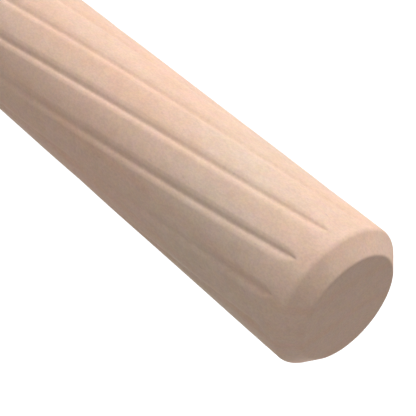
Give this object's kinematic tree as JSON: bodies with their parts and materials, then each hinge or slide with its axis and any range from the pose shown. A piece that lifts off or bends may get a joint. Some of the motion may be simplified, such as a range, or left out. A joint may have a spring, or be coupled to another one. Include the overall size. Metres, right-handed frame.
{
  "type": "spiral-fluted wooden dowel pin",
  "caption": "Short turned wooden pin with a wide chamfer at each end and shallow spiral flutes rolled into its side, for gluing two pieces of wood together.",
  "frame": {"origin": "centre of the bottom end face, on the surface that the pin stands on", "axes": "+Z along the pin's axis, from the bottom end face to the top one; +X through a land at mid-length"},
  "size_m": [0.008, 0.008, 0.04],
  "materials": {
    "pale_beech": "bare sanded close-grained hardwood, pale with a pink cast, matt"
  },
  "bodies": {
    "root": {"dowel_pin": "pale_beech"}
  },
  "joints": []
}
